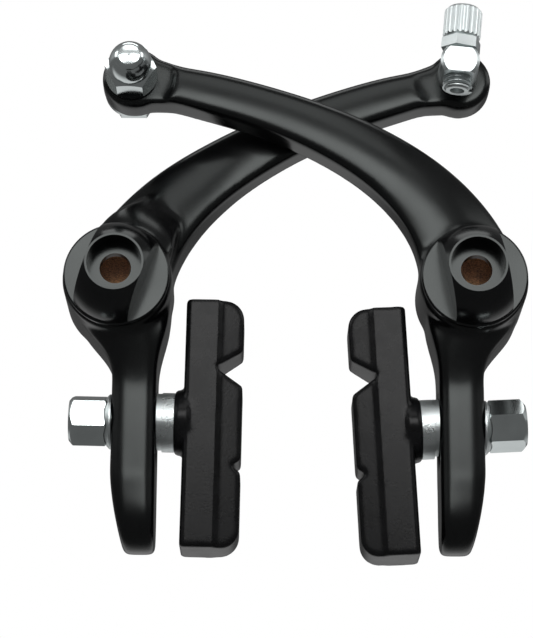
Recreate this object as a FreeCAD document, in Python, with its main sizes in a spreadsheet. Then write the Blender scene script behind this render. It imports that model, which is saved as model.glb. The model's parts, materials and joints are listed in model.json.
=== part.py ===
import FreeCAD, Part
import math
import os
import Sketcher

# Bicycle u-brake: two forged arms cross above the wheel, each turning on a bush on a frame post.
# X points right as seen from the front, Z up and Y towards the frame.
# The mounting plane is y = 0, and "depth" is the distance in front of it, so y = -depth.

SIZES = [
    ("post_spacing", 78.0, "distance between the two frame posts"),
    ("bush_bore_radius", 4.55, "bore of the pivot bush, for a 9 mm post"),
    ("bush_wall", 1.45, "wall of the pivot bush"),
    ("bush_length", 23.0, "length of the pivot bush"),
    ("bush_clearance", 0.05, "radial play of hub and cap on the bush"),
    ("hub_radius", 12.0, "outer radius of an arm's hub"),
    ("hub_rear", 0.5, "gap from the mounting plane to the hub"),
    ("hub_length", 19.0, "length of the hub"),
    ("hub_edge", 0.7, "rounding of the hub's rims"),
    ("spring_room_radius", 10.3, "radius of the spring recess in the hub"),
    ("spring_room_depth", 9.5, "depth of the spring recess in the hub"),
    ("cap_gap", 0.3, "gap between hub and tension cap"),
    ("cap_radius", 11.6, "radius of the cap's flange"),
    ("cap_flange", 1.5, "thickness of the cap's flange"),
    ("cap_edge", 0.45, "rounding of the flange"),
    ("cap_boss_height", 9.1, "height of the cap's boss above its flange"),
    ("cap_lip", 0.45, "wall of the boss around its socket"),
    ("cap_flank_radius", 11.0, "curve of the boss's flank"),
    ("cap_socket_radius", 5.9, "socket for the head of the mounting bolt"),
    ("cap_floor", 2.2, "floor between socket and bush"),
    ("cap_bolt_hole_radius", 3.4, "hole for the mounting bolt"),
    ("cap_flats", 12.6, "spanner size of the boss"),
    ("left_cap_turn", 20.2, "turn of the left cap's flats from upright"),
    ("right_cap_turn", -11.7, "turn of the right cap's flats from upright"),
    ("spring_wire_radius", 0.75, "radius of the spring wire"),
    ("spring_coil_radius", 8.25, "mean radius of the coil"),
    ("spring_pitch", 2.2, "pitch of the coil"),
    ("spring_turns", 3.0, "turns of the coil"),
    ("spring_floor_gap", 0.25, "gap between the coil and the floor of its recess"),
    ("spring_leg", 2.0, "length of a spring leg in its hole"),
    ("spring_leg_radius", 0.68, "radius of a spring leg, drawn a little under the wire"),
    ("spring_hole_play", 0.25, "radial play of a spring leg in its hole"),
    ("front_arm_root_width", 23.5, "width of the front arm at its hub"),
    ("rear_arm_root_width", 22.4, "width of the rear arm at its hub"),
    ("front_arm_waist_width", 9.6, "pull of the front arm's width towards its waist"),
    ("rear_arm_waist_width", 10.6, "pull of the rear arm's width towards its waist"),
    ("arm_tip_width", 9.6, "width of an arm at its upper end"),
    ("arm_neck_flare", 1.6, "extra width of an arm at its upper end"),
    ("front_arm_lean", 8.7, "lean of the front arm where it leaves the hub"),
    ("rear_arm_lean", 15.0, "lean of the rear arm where it leaves the hub"),
    ("arm_root_pull", 27.0, "reach of the arm's curve at the hub"),
    ("front_arm_slope", 9.3, "slope of the front arm at its upper end"),
    ("rear_arm_slope", 11.4, "slope of the rear arm at its upper end"),
    ("arm_tip_pull", 38.5, "reach of the arm's curve at its upper end"),
    ("arm_crown_radius", 22.0, "crown of the arm's front"),
    ("arm_crown_shift", 0.17, "share of the width by which the crown lies low"),
    ("arm_low_edge", 0.9, "rounding of an arm's lower front edge"),
    ("arm_top_edge", 2.2, "rounding of an arm's upper front edge"),
    ("arm_front_drop", 0.2, "step from the hub's front to the arm's front"),
    ("front_arm_reach", 75.8, "from the right post to the cable anchor, across"),
    ("front_arm_rise", 47.6, "from the posts up to the cable anchor"),
    ("rear_arm_reach", 75.95, "from the left post to the swivel, across"),
    ("rear_arm_rise", 51.8, "from the posts up to the swivel"),
    ("front_end_back", 0.5, "from the anchor back to the middle of the front arm's end"),
    ("rear_end_out", 0.55, "from the swivel out to the middle of the rear arm's end"),
    ("rear_end_drop", 0.75, "from the swivel down to the middle of the rear arm's end"),
    ("rear_arm_rear", 1.5, "gap from the mounting plane to the rear arm's back"),
    ("rear_arm_depth", 7.9, "depth of the rear arm where it passes the front arm"),
    ("rear_arm_swell", 4.4, "extra depth of the rear arm towards its hub"),
    ("shoulder_drop", 0.5, "step from the hub's front to the rear arm's shoulder"),
    ("shoulder_taper", 2.6, "further inset of the shoulder's sides where it meets the arm"),
    ("shoulder_inset", 0.9, "step from the rear arm's sides in to its shoulder"),
    ("crossing_gap", 1.3, "gap between the arms where they cross"),
    ("arm_end_radius", 7.2, "radius of an arm's upper end"),
    ("arm_end_thickness", 7.3, "thickness of an arm's upper end"),
    ("arm_end_edge", 1.2, "rounding of an arm's upper end"),
    ("spot_face_radius", 9.8, "radius of the flat milled around an arm's upper end"),
    ("leg_width", 9.8, "width of a leg between its two pad seats"),
    ("left_leg_offset", 4.0, "shift of the left leg from its post towards the wheel"),
    ("right_leg_offset", 2.8, "shift of the right leg from its post towards the wheel"),
    ("leg_depth", 14.0, "depth of a leg"),
    ("leg_rear", 2.5, "gap from the mounting plane to the leg's back"),
    ("leg_flare_width", 21.0, "width of the leg where it leaves the hub"),
    ("left_flare_offset", 1.0, "shift of the left leg where it leaves the hub"),
    ("right_flare_offset", -0.3, "shift of the right leg where it leaves the hub"),
    ("leg_flare_start", 4.0, "drop from the posts to the start of the flare"),
    ("leg_seat_top", 24.5, "drop from the posts to the top of the pad seats"),
    ("leg_seat_length", 18.0, "length of the pad seats"),
    ("leg_tip_drop", 59.0, "drop from the posts to the leg's tip"),
    ("leg_tip_width", 6.8, "width of the leg's tip"),
    ("leg_tip_slope", 6.0, "how far the leg's front falls back at its tip"),
    ("leg_tip_round", 0.9, "rounding of the leg's tip"),
    ("leg_edge", 2.0, "rounding of a leg's front edges"),
    ("leg_crown_radius", 11.5, "crown of a leg's front"),
    ("left_pad_drop", 30.2, "drop from the posts to the left pad stud"),
    ("right_pad_drop", 31.2, "drop from the posts to the right pad stud"),
    ("left_pad_lean", 1.0, "lean of the left pad, top towards the wheel"),
    ("right_pad_lean", 3.0, "lean of the right pad, top towards the wheel"),
    ("slot_width", 6.3, "width of the pad slot"),
    ("slot_top_drop", 27.2, "drop from the posts to the slot's upper centre"),
    ("slot_bottom_drop", 37.0, "drop from the posts to the slot's lower centre"),
    ("seat_gap", 0.05, "gap between a washer and its seat on the leg"),
    ("stud_radius", 3.0, "radius of the pad stud"),
    ("stud_clearance", 0.05, "radial play of nut and spacer on the stud"),
    ("stud_head_radius", 5.5, "radius of the stud's head in the block"),
    ("stud_head", 2.5, "thickness of the stud's head"),
    ("inner_dome_radius", 8.8, "ball radius of the inner domed washer, centred in the leg"),
    ("outer_dome_radius", 8.05, "ball radius of the outer domed washer, centred in the leg"),
    ("dome_gap", 0.12, "gap between a domed washer and its cup"),
    ("dome_hole_radius", 4.2, "hole of the domed washers, with room to lean"),
    ("inner_washer_radius", 6.2, "radius of the inner domed washer"),
    ("outer_washer_radius", 6.0, "radius of the outer domed washer"),
    ("spacer_radius", 6.5, "radius of the pad spacer"),
    ("spacer_end", 8.75, "from the leg's middle to the spacer's pad side"),
    ("pad_nut_flats", 10.0, "spanner size of the pad nut"),
    ("left_nut_turn", 6.5, "turn of the left pad nut from a flat facing the front"),
    ("right_nut_turn", 17.9, "turn of the right pad nut from a flat facing the front"),
    ("pad_nut_end", 14.2, "from the leg's middle to the nut's closed end"),
    ("pad_nut_wall", 1.5, "closed wall of the pad nut"),
    ("nut_chamfer", 1.1, "chamfer of the hexagon nuts"),
    ("pad_boss_radius", 7.2, "radius of the block's boss"),
    ("pad_boss_height", 2.0, "height of the boss on the block's back"),
    ("pad_boss_edge", 0.8, "rounding of the boss"),
    ("pad_thickness", 12.7, "thickness of the block"),
    ("pad_wear_depth", 7.4, "from the block's back to its wear ledge"),
    ("pad_wear_step", 0.5, "step of the wear ledge"),
    ("pad_height", 13.0, "height of the block, front to back"),
    ("pad_face_height", 9.6, "height of the braking face"),
    ("pad_back_edge", 1.2, "rounding of the block's back edges"),
    ("pad_above", 26.6, "block above the stud"),
    ("pad_below", 28.6, "block below the stud"),
    ("pad_corner", 4.0, "rounding of the block's ends at the braking face"),
    ("notch_rise", 11.3, "from the stud up to the water notch"),
    ("notch_depth", 6.0, "depth of the water notch"),
    ("chip_drop", 10.4, "from the stud down to the small notch"),
    ("chip_depth", 2.0, "depth of the small notch"),
    ("notch_slope", 0.65, "half width of a notch for its depth"),
    ("bolt_radius", 3.0, "radius of the anchor bolt"),
    ("bolt_play", 0.1, "radial play around the anchor bolt"),
    ("bolt_head_flats", 10.0, "spanner size of the anchor bolt"),
    ("bolt_head_turn", 30.0, "turn of the anchor bolt's head from a flat at the side"),
    ("bolt_head", 4.0, "height of the anchor bolt's head"),
    ("clamp_radius", 6.5, "radius of the cable clamp plate"),
    ("clamp_thickness", 1.6, "thickness of the cable clamp plate"),
    ("cable_radius", 0.8, "radius of the brake cable"),
    ("anchor_washer_radius", 5.8, "radius of the anchor washer"),
    ("washer_thickness", 0.8, "thickness of the anchor and swivel washers"),
    ("cap_nut_flats", 10.0, "spanner size of the cap nut"),
    ("cap_nut_turn", 28.0, "turn of the cap nut from a corner pointing up"),
    ("cap_nut_hexagon", 6.0, "height of the cap nut's hexagon"),
    ("cap_nut_dome", 4.7, "radius of the cap nut's dome at its foot"),
    ("cap_nut_dome_height", 5.9, "height of the cap nut's dome"),
    ("cap_nut_dome_curve", 7.0, "curve of the dome's side"),
    ("cap_nut_top", 2.3, "radius of the dome's slightly crowned top"),
    ("cap_nut_crown", 0.25, "rise of the dome's top"),
    ("cap_nut_round", 1.4, "rounding between the dome's top and side"),
    ("cap_nut_wall", 2.2, "wall of the cap nut at its dome"),
    ("swivel_radius", 4.4, "radius of the swivel block"),
    ("swivel_length", 9.5, "length of the swivel block"),
    ("swivel_edge", 0.65, "chamfer of the swivel block's front"),
    ("swivel_flats", 5.8, "height of the swivel block between its flats"),
    ("swivel_lean", 5.5, "lean of the adjuster from upright"),
    ("swivel_gap", 0.05, "gap between the swivel block and its washer"),
    ("swivel_washer_radius", 4.6, "radius of the swivel washer"),
    ("spindle_radius", 2.95, "radius of the swivel's spindle"),
    ("spindle_clearance", 0.05, "radial play of the spindle"),
    ("spindle_tail", 1.4, "spindle behind the rear arm"),
    ("clip_groove_radius", 2.2, "radius of the groove for the clip"),
    ("clip_radius", 4.2, "outer radius of the clip"),
    ("clip_thickness", 0.6, "thickness of the clip"),
    ("clip_mouth", 3.4, "opening of the clip"),
    ("clip_gap", 0.1, "play of the clip in its groove and at the arm"),
    ("thread_radius", 2.95, "radius of the barrel's thread"),
    ("thread_clearance", 0.05, "radial play of the barrel in block and lock nut"),
    ("thread_below", 5.9, "barrel below the swivel's axis"),
    ("lock_nut_flats", 8.0, "spanner size of the lock nut"),
    ("lock_nut_turn", 16.0, "turn of the lock nut from a corner pointing to the front"),
    ("lock_nut_height", 2.45, "height of the lock nut"),
    ("lock_nut_lift", 1.0, "gap between the lock nut and the swivel block"),
    ("lock_nut_gap", 0.05, "gap between the lock nut and the barrel's head"),
    ("barrel_head_radius", 4.3, "radius of the barrel's head"),
    ("barrel_head_height", 7.7, "height of the barrel's head"),
    ("barrel_head_edge", 0.85, "chamfer of the barrel's head"),
    ("knurl_count", 22.0, "flutes around the barrel's head"),
    ("knurl_depth", 0.3, "depth of a flute"),
    ("knurl_radius", 0.55, "radius of a flute"),
    ("housing_radius", 2.6, "seat for the cable housing"),
    ("housing_depth", 6.5, "depth of the housing seat"),
    ("cable_hole_radius", 1.1, "hole for the cable through the barrel"),
    ("cable_mouth_radius", 1.65, "mouth of the cable hole at the lower end"),
    ("cable_mouth_depth", 2.0, "depth of the mouth"),
]

# Sizes that follow from the driving ones, as expressions over the sheet.
BUSH_RADIUS = "(Sizes.bush_bore_radius + Sizes.bush_wall)"
HUB_BORE = f"({BUSH_RADIUS} + Sizes.bush_clearance)"
HUB_FRONT = "(Sizes.hub_rear + Sizes.hub_length)"
SPRING_FLOOR = f"({HUB_FRONT} - Sizes.spring_room_depth)"
SPRING_HOLE = "(Sizes.spring_wire_radius + Sizes.spring_hole_play)"
COIL_REAR = f"({SPRING_FLOOR} + Sizes.spring_floor_gap + Sizes.spring_wire_radius)"
COIL_FRONT = f"({COIL_REAR} + Sizes.spring_pitch * Sizes.spring_turns)"
FLANGE_REAR = f"({HUB_FRONT} + Sizes.cap_gap)"
FLANGE_FRONT = f"({FLANGE_REAR} + Sizes.cap_flange)"
BOSS_FRONT = f"({FLANGE_FRONT} + Sizes.cap_boss_height)"
SOCKET_FLOOR = "(Sizes.bush_length + Sizes.cap_floor)"
SOCKET_LIP = "(Sizes.cap_socket_radius + Sizes.cap_lip)"
REAR_ARM_FRONT = "(Sizes.rear_arm_rear + Sizes.rear_arm_depth)"
FRONT_ARM_REAR = f"({REAR_ARM_FRONT} + Sizes.crossing_gap)"
FRONT_ARM_FRONT = f"({HUB_FRONT} - Sizes.arm_front_drop)"
LEG_FRONT = "(Sizes.leg_rear + Sizes.leg_depth)"
STUD_DEPTH = "(Sizes.leg_rear + Sizes.leg_depth / 2)"
SEAT_BOTTOM = "(Sizes.leg_seat_top + Sizes.leg_seat_length)"
LEG_SEAT = "(Sizes.leg_width / 2 + Sizes.seat_gap)"
STUD_HOLE = "(Sizes.stud_radius + Sizes.stud_clearance)"
SPACER_CUP = "(Sizes.inner_dome_radius + Sizes.dome_gap)"
NUT_CUP = "(Sizes.outer_dome_radius + Sizes.dome_gap)"
PAD_BACK = "(Sizes.spacer_end + Sizes.pad_boss_height)"
PAD_FACE = f"({PAD_BACK} + Sizes.pad_thickness)"
HEAD_START = f"({PAD_BACK} + Sizes.pad_back_edge)"
HEAD_END = f"({HEAD_START} + Sizes.stud_head)"
NUT_BORE_END = "(Sizes.pad_nut_end - Sizes.pad_nut_wall)"
STUD_END = f"({NUT_BORE_END} - Sizes.stud_clearance)"
ANCHOR_FRONT = f"({FRONT_ARM_REAR} + Sizes.arm_end_thickness)"
BOLT_HOLE = "(Sizes.bolt_radius + Sizes.bolt_play)"
CLAMP_REAR = f"({FRONT_ARM_REAR} - Sizes.clamp_thickness)"
HEAD_REAR = f"({CLAMP_REAR} - Sizes.bolt_head)"
CAP_NUT_REAR = f"({ANCHOR_FRONT} + Sizes.washer_thickness)"
CAP_NUT_TOP = f"({CAP_NUT_REAR} + Sizes.cap_nut_hexagon)"
DOME_TOP = f"({CAP_NUT_TOP} + Sizes.cap_nut_dome_height)"
CAP_NUT_BORE_END = f"({DOME_TOP} - Sizes.cap_nut_wall)"
SWIVEL_FACE = "(Sizes.rear_arm_rear + Sizes.arm_end_thickness)"
SPINDLE_HOLE = "(Sizes.spindle_radius + Sizes.spindle_clearance)"
BLOCK_REAR = f"({SWIVEL_FACE} + Sizes.washer_thickness + Sizes.swivel_gap)"
BLOCK_FRONT = f"({BLOCK_REAR} + Sizes.swivel_length)"
BARREL_DEPTH = f"({BLOCK_REAR} + Sizes.swivel_length / 2)"
THREAD_HOLE = "(Sizes.thread_radius + Sizes.thread_clearance)"
CLIP_FRONT = "(Sizes.rear_arm_rear - Sizes.clip_gap)"
CLIP_REAR = f"({CLIP_FRONT} - Sizes.clip_thickness)"
LOCK_NUT_FOOT = "(Sizes.swivel_flats / 2 + Sizes.lock_nut_lift)"
BARREL_HEAD_FOOT = f"({LOCK_NUT_FOOT} + Sizes.lock_nut_height + Sizes.lock_nut_gap)"
BARREL_TOP = f"({BARREL_HEAD_FOOT} + Sizes.barrel_head_height)"

# Stations along an arm, from hub to upper end, and down a leg's flare and tip, as shares of their length.
ARM_STATIONS = (0.06, 0.15, 0.26, 0.38, 0.5, 0.62, 0.75, 0.86, 0.925, 0.945, 0.965, 1.0)
SHOULDER_STATIONS = (0.03, 0.08, 0.13, 0.18, 0.23, 0.28)
RAMP_START, RAMP_END = 0.13, 0.28
SWELL_START, SWELL_END = 0.1, 0.58
NECK_START, NECK_END = 0.925, 0.965
FLARE_STATIONS = (0.0, 0.25, 0.48, 0.66, 0.82, 1.0)
FLARE_END = 0.82
TIP_STATIONS = (0.0, 0.35, 0.6, 0.76, 0.88)
TIP_END_STATIONS = (0.88, 0.93, 0.97, 1.0)
CUT_MARGIN = 1.0

LEFT, RIGHT = -1, 1
ORIGIN = FreeCAD.Vector(0, 0, 0)
Y_AXIS = FreeCAD.Vector(0, 1, 0)
Z_AXIS = FreeCAD.Vector(0, 0, 1)

doc = FreeCAD.newDocument("UBrake")
sheet = doc.addObject("Spreadsheet::Sheet", "Sizes")
for row, (alias, number, meaning) in enumerate(SIZES, start=1):
    sheet.set(f"A{row}", meaning)
    sheet.set(f"B{row}", str(number))
    sheet.setAlias(f"B{row}", alias)
doc.recompute()
parts = []


def value(expression):
    """Number that an expression over the sheet stands for."""
    return float(sheet.evalExpression(expression))


def new_body(label):
    """Body of one sub-part; its label names the sub-part's file."""
    body = doc.addObject("PartDesign::Body", label)
    body.Label = label
    parts.append(body)
    return body


def new_sketch(body, name, role, place):
    """Sketch on one of the body's origin planes, moved by place."""
    sketch = body.newObject("Sketcher::SketchObject", f"{body.Label}_{name}")
    plane = next(item for item in body.Origin.OriginFeatures if item.Role == role)
    sketch.AttachmentSupport = [(plane, "")]
    sketch.MapMode = "FlatFace"
    sketch.AttachmentOffset = place
    return sketch


def at_depth(depth, x="0", z="0"):
    """Offset of an XZ sketch to a depth in front of the mounting plane."""
    return FreeCAD.Placement(FreeCAD.Vector(value(x), value(z), value(depth)), FreeCAD.Rotation())


def drive(sketch, kind, geometry, expression):
    """Add one dimension to a sketch and bind it to the sheet."""
    index = sketch.addConstraint(Sketcher.Constraint(kind, *geometry, value(expression)))
    name = f"{kind}_{index}"
    sketch.renameConstraint(index, name)
    sketch.setExpression(f"Constraints.{name}", expression)


def pin(sketch, geometry, position, x, y):
    """Hold one point of a sketch at x, y."""
    if x == "0":
        sketch.addConstraint(Sketcher.Constraint("PointOnObject", geometry, position, -2))
    else:
        drive(sketch, "DistanceX", (-1, 1, geometry, position), x)
    if y == "0":
        sketch.addConstraint(Sketcher.Constraint("PointOnObject", geometry, position, -1))
    else:
        drive(sketch, "DistanceY", (-1, 1, geometry, position), y)


def arc_between(start, end, radius, turn):
    """Minor arc from start to end; turn is 1 anticlockwise and -1 clockwise."""
    chord = end - start
    side = FreeCAD.Vector(-chord.y, chord.x, 0).normalize() * turn
    centre = (start + end) * 0.5 + side * math.sqrt(radius ** 2 - (chord.Length / 2) ** 2)
    first, last = (start, end) if turn > 0 else (end, start)
    angles = [math.atan2(point.y - centre.y, point.x - centre.x) for point in (first, last)]
    return Part.ArcOfCircle(Part.Circle(centre, Z_AXIS, radius), *angles)


def outline(body, name, role, steps, place=FreeCAD.Placement()):
    """Closed outline; a step is (x, y), or (x, y, radius, turn) where an arc leads to that point."""
    sketch = new_sketch(body, name, role, place)
    points = [FreeCAD.Vector(value(step[0]), value(step[1]), 0) for step in steps]
    runs = []
    for index, step in enumerate(steps):
        start, end = points[index - 1], points[index]
        if len(step) == 2:
            runs.append((sketch.addGeometry(Part.LineSegment(start, end)), 1, 2))
            continue
        radius, turn = step[2:]
        geometry = sketch.addGeometry(arc_between(start, end, value(radius), turn))
        drive(sketch, "Radius", (geometry,), radius)
        runs.append((geometry, 1, 2) if turn > 0 else (geometry, 2, 1))
    for index, (geometry, first, last) in enumerate(runs):
        before, _, before_last = runs[index - 1]
        sketch.addConstraint(Sketcher.Constraint("Coincident", before, before_last, geometry, first))
        pin(sketch, geometry, last, steps[index][0], steps[index][1])
    return sketch


def circle(body, name, role, x, y, radius, place=FreeCAD.Placement()):
    """Sketch of one circle."""
    sketch = new_sketch(body, name, role, place)
    centre = FreeCAD.Vector(value(x), value(y), 0)
    geometry = sketch.addGeometry(Part.Circle(centre, Z_AXIS, value(radius)))
    pin(sketch, geometry, 3, x, y)
    drive(sketch, "Radius", (geometry,), radius)
    return sketch


def hexagon(body, name, role, flats, place, turn=0):
    """Sketch of a hexagon across the given flats, with a flat on the right before its turn."""
    place = place.multiply(FreeCAD.Placement(ORIGIN, FreeCAD.Rotation(Z_AXIS, turn)))
    side = f"({flats}) / 2"
    half = f"{side} * tan(30 deg)"
    corner = f"({flats}) / 2 / cos(30 deg)"
    steps = [
        (side, half),
        ("0", corner),
        (f"-({side})", half),
        (f"-({side})", f"-({half})"),
        ("0", f"-({corner})"),
        (side, f"-({half})"),
    ]
    return outline(body, name, role, steps, place)


def extrude(body, kind, name, sketch, length, reverse=False):
    """Pad or pocket of a sketch over a length."""
    feature = body.newObject(f"PartDesign::{kind}", f"{body.Label}_{name}")
    feature.Profile = sketch
    feature.setExpression("Length", length)
    feature.Reversed = reverse
    doc.recompute()
    return feature


def turn_about(body, kind, name, sketch, axis):
    """Full revolution or groove of a sketch about one of its own axes."""
    feature = body.newObject(f"PartDesign::{kind}", f"{body.Label}_{name}")
    feature.Profile = sketch
    feature.ReferenceAxis = (sketch, [axis])
    feature.Angle = 360
    doc.recompute()
    return feature


def loft(body, name, sections):
    """Smooth body through section sketches."""
    feature = body.newObject("PartDesign::AdditiveLoft", f"{body.Label}_{name}")
    feature.Profile = sections[0]
    feature.Sections = sections[1:]
    doc.recompute()
    return feature


def fillet(body, name, edges, radius):
    """Round the named edges of the body's last feature."""
    base = body.Tip
    feature = body.newObject("PartDesign::Fillet", f"{body.Label}_{name}")
    feature.Base = (base, edges)
    feature.setExpression("Radius", radius)
    body.Tip = feature
    doc.recompute()
    return feature


def put(body, x, y, z, turn=FreeCAD.Rotation()):
    """Place a body at x, y, z, given as expressions."""
    body.Placement = FreeCAD.Placement(ORIGIN, turn)
    for axis, expression in (("x", x), ("y", y), ("z", z)):
        body.setExpression(f"Placement.Base.{axis}", expression)


def post_x(side):
    """Place of a frame post across the brake."""
    return f"({side} * Sizes.post_spacing / 2)"


def ring_profile(inner, outer, rear, front):
    """Profile of a plain ring about Y between two depths."""
    return [(inner, f"-({rear})"), (outer, f"-({rear})"), (outer, f"-({front})"), (inner, f"-({front})")]


# Pivots: bush, tension cap and return spring on each post

def make_bush(name, side):
    body = new_body(name)
    profile = ring_profile("Sizes.bush_bore_radius", BUSH_RADIUS, "0", "Sizes.bush_length")
    profile[0] = ("Sizes.bush_bore_radius", "0")
    profile[1] = (BUSH_RADIUS, "0")
    turn_about(body, "Revolution", "sleeve", outline(body, "section", "XY_Plane", profile), "V_Axis")
    put(body, post_x(side), "0", "0")


def make_cap(name, side, angle):
    body = new_body(name)
    edge = "Sizes.cap_edge"
    rim = f"(Sizes.cap_radius - {edge})"
    profile = [
        (HUB_BORE, f"-{FLANGE_REAR}"),
        (rim, f"-{FLANGE_REAR}"),
        ("Sizes.cap_radius", f"-({FLANGE_REAR} + {edge})", edge, -1),
        ("Sizes.cap_radius", f"-({FLANGE_FRONT} - {edge})"),
        (rim, f"-{FLANGE_FRONT}", edge, -1),
        (SOCKET_LIP, f"-{BOSS_FRONT}", "Sizes.cap_flank_radius", -1),
        ("Sizes.cap_socket_radius", f"-{BOSS_FRONT}"),
        ("Sizes.cap_socket_radius", f"-{SOCKET_FLOOR}"),
        ("Sizes.cap_bolt_hole_radius", f"-{SOCKET_FLOOR}"),
        ("Sizes.cap_bolt_hole_radius", "-Sizes.bush_length"),
        (HUB_BORE, "-Sizes.bush_length"),
    ]
    turn_about(body, "Revolution", "turned", outline(body, "section", "XY_Plane", profile), "V_Axis")
    far = f"(Sizes.cap_radius + {CUT_MARGIN})"
    for hand, word in ((LEFT, "left"), (RIGHT, "right")):
        near = f"{hand} * Sizes.cap_flats / 2"
        out = f"{hand} * {far}"
        corners = [(near, far), (out, far), (out, f"-{far}"), (near, f"-{far}")]
        cut = outline(body, f"{word}_flat", "XZ_Plane", corners, at_depth(BOSS_FRONT))
        extrude(body, "Pocket", f"{word}_flat_cut", cut, "Sizes.cap_boss_height")
    hole = circle(body, "spring_hole", "XZ_Plane", "0", "Sizes.spring_coil_radius", SPRING_HOLE,
                  at_depth(FLANGE_REAR))
    depth = "Sizes.spring_leg + Sizes.spring_hole_play"
    extrude(body, "Pocket", "spring_hole_cut", hole, depth, reverse=True)
    put(body, post_x(side), "0", "0", FreeCAD.Rotation(Y_AXIS, value(angle)))


def make_spring(name, side, angle):
    body = new_body(name)
    wire = circle(body, "wire", "XY_Plane", "Sizes.spring_coil_radius", f"-{COIL_FRONT}",
                  "Sizes.spring_wire_radius")
    coil = body.newObject("PartDesign::AdditiveHelix", f"{name}_coil")
    coil.Profile = wire
    coil.ReferenceAxis = (wire, ["V_Axis"])
    coil.Mode = "pitch-turns-angle"
    coil.setExpression("Pitch", "Sizes.spring_pitch")
    coil.setExpression("Turns", "Sizes.spring_turns")
    coil.LeftHanded = side == LEFT
    doc.recompute()
    bite = "Sizes.spring_wire_radius / 2"
    legs = (
        ("front_leg", f"{COIL_FRONT} - {bite}",
         f"{FLANGE_REAR} + Sizes.spring_leg - {COIL_FRONT} + {bite}", False),
        ("rear_leg", f"{COIL_REAR} + {bite}",
         f"{COIL_REAR} - {SPRING_FLOOR} + Sizes.spring_leg + {bite}", True),
    )
    for word, start, length, reverse in legs:
        section = circle(body, f"{word}_wire", "XZ_Plane", "Sizes.spring_coil_radius", "0",
                         "Sizes.spring_leg_radius", at_depth(start))
        extrude(body, "Pad", word, section, length, reverse)
    put(body, post_x(side), "0", "0", FreeCAD.Rotation(Y_AXIS, value(angle) - 90))


# Arms: crowned sections lofted along a curve, with hub, leg and upper end

def crowned_section(body, name, place, width, rear, front, crown, shift, low_edge, top_edge):
    """Section with a flat back and a crowned front; local x runs across and local y is the depth."""
    sketch = new_sketch(body, name, "XY_Plane", place)
    half = value(width) / 2
    back = value(rear)
    big = value(crown)
    middle_x = -value(shift) * 2 * half
    middle_y = value(front) - big
    corners = []
    for edge, x in ((value(top_edge), half), (value(low_edge), -half)):
        corner_x = x - math.copysign(edge, x)
        corner_y = middle_y + math.sqrt((big - edge) ** 2 - (corner_x - middle_x) ** 2)
        angle = math.atan2(corner_y - middle_y, corner_x - middle_x)
        corners.append((FreeCAD.Vector(corner_x, corner_y, 0), edge, angle))
    (top, top_radius, top_angle), (low, low_radius, low_angle) = corners
    middle = FreeCAD.Vector(middle_x, middle_y, 0)
    left_back, right_back = FreeCAD.Vector(-half, back, 0), FreeCAD.Vector(half, back, 0)
    base = sketch.addGeometry(Part.LineSegment(left_back, right_back))
    right = sketch.addGeometry(Part.LineSegment(right_back, FreeCAD.Vector(half, top.y, 0)))
    upper = sketch.addGeometry(Part.ArcOfCircle(Part.Circle(top, Z_AXIS, top_radius), 0, top_angle))
    face = sketch.addGeometry(Part.ArcOfCircle(Part.Circle(middle, Z_AXIS, big), top_angle, low_angle))
    lower = sketch.addGeometry(Part.ArcOfCircle(Part.Circle(low, Z_AXIS, low_radius), low_angle, math.pi))
    left = sketch.addGeometry(Part.LineSegment(FreeCAD.Vector(-half, low.y, 0), left_back))
    for first, second in ((base, right), (left, base)):
        sketch.addConstraint(Sketcher.Constraint("Coincident", first, 2, second, 1))
    for first, second in ((right, upper), (upper, face), (face, lower), (lower, left)):
        sketch.addConstraint(Sketcher.Constraint("Tangent", first, 2, second, 1))
    sketch.addConstraint(Sketcher.Constraint("Horizontal", base))
    sketch.addConstraint(Sketcher.Constraint("Vertical", right))
    sketch.addConstraint(Sketcher.Constraint("Vertical", left))
    pin(sketch, base, 1, f"-({width}) / 2", rear)
    drive(sketch, "DistanceX", (base, 1, base, 2), width)
    drive(sketch, "Radius", (upper,), top_edge)
    drive(sketch, "Radius", (lower,), low_edge)
    drive(sketch, "Radius", (face,), crown)
    pin(sketch, face, 3, "0" if shift == "0" else f"-{shift} * ({width})", f"({front}) - ({crown})")
    return sketch


def across(side, x, z, outward_x, outward_z):
    """Placement of a section at x inwards and z up from a post; local x points outwards."""
    outward = FreeCAD.Vector(-side * outward_x, 0, outward_z)
    depth = FreeCAD.Vector(0, -1, 0)
    base = FreeCAD.Vector(value(post_x(side)) - side * x, 0, z)
    return FreeCAD.Placement(base, FreeCAD.Rotation(outward, depth, outward.cross(depth), "XYZ"))


def curve_point(controls, share):
    """Point and unit direction of a cubic curve at a share of its length."""
    rest = 1 - share
    weights = (rest ** 3, 3 * rest ** 2 * share, 3 * rest * share ** 2, share ** 3)
    slopes = (-3 * rest ** 2, 3 * rest * (rest - 2 * share), 3 * share * (2 * rest - share), 3 * share ** 2)
    point = [sum(w * c[axis] for w, c in zip(weights, controls)) for axis in (0, 1)]
    slope = [sum(w * c[axis] for w, c in zip(slopes, controls)) for axis in (0, 1)]
    length = math.hypot(*slope)
    return point, (slope[0] / length, slope[1] / length)


def arm_curve(arm, reach, rise):
    """Control points of an arm's middle line, inwards and up from its post."""
    lean = math.radians(value(f"Sizes.{arm}_lean"))
    slope = math.radians(value(f"Sizes.{arm}_slope"))
    root, tip = value("Sizes.arm_root_pull"), value("Sizes.arm_tip_pull")
    end = (value(reach), value(rise))
    leave = (root * math.sin(lean), root * math.cos(lean))
    arrive = (end[0] - tip * math.cos(slope), end[1] - tip * math.sin(slope))
    return (0.0, 0.0), leave, arrive, end


def ease(share, start, end):
    """Smooth rise from 0 at start to 1 at end."""
    way = min(max((share - start) / (end - start), 0), 1)
    return way ** 2 * (3 - 2 * way)


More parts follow.
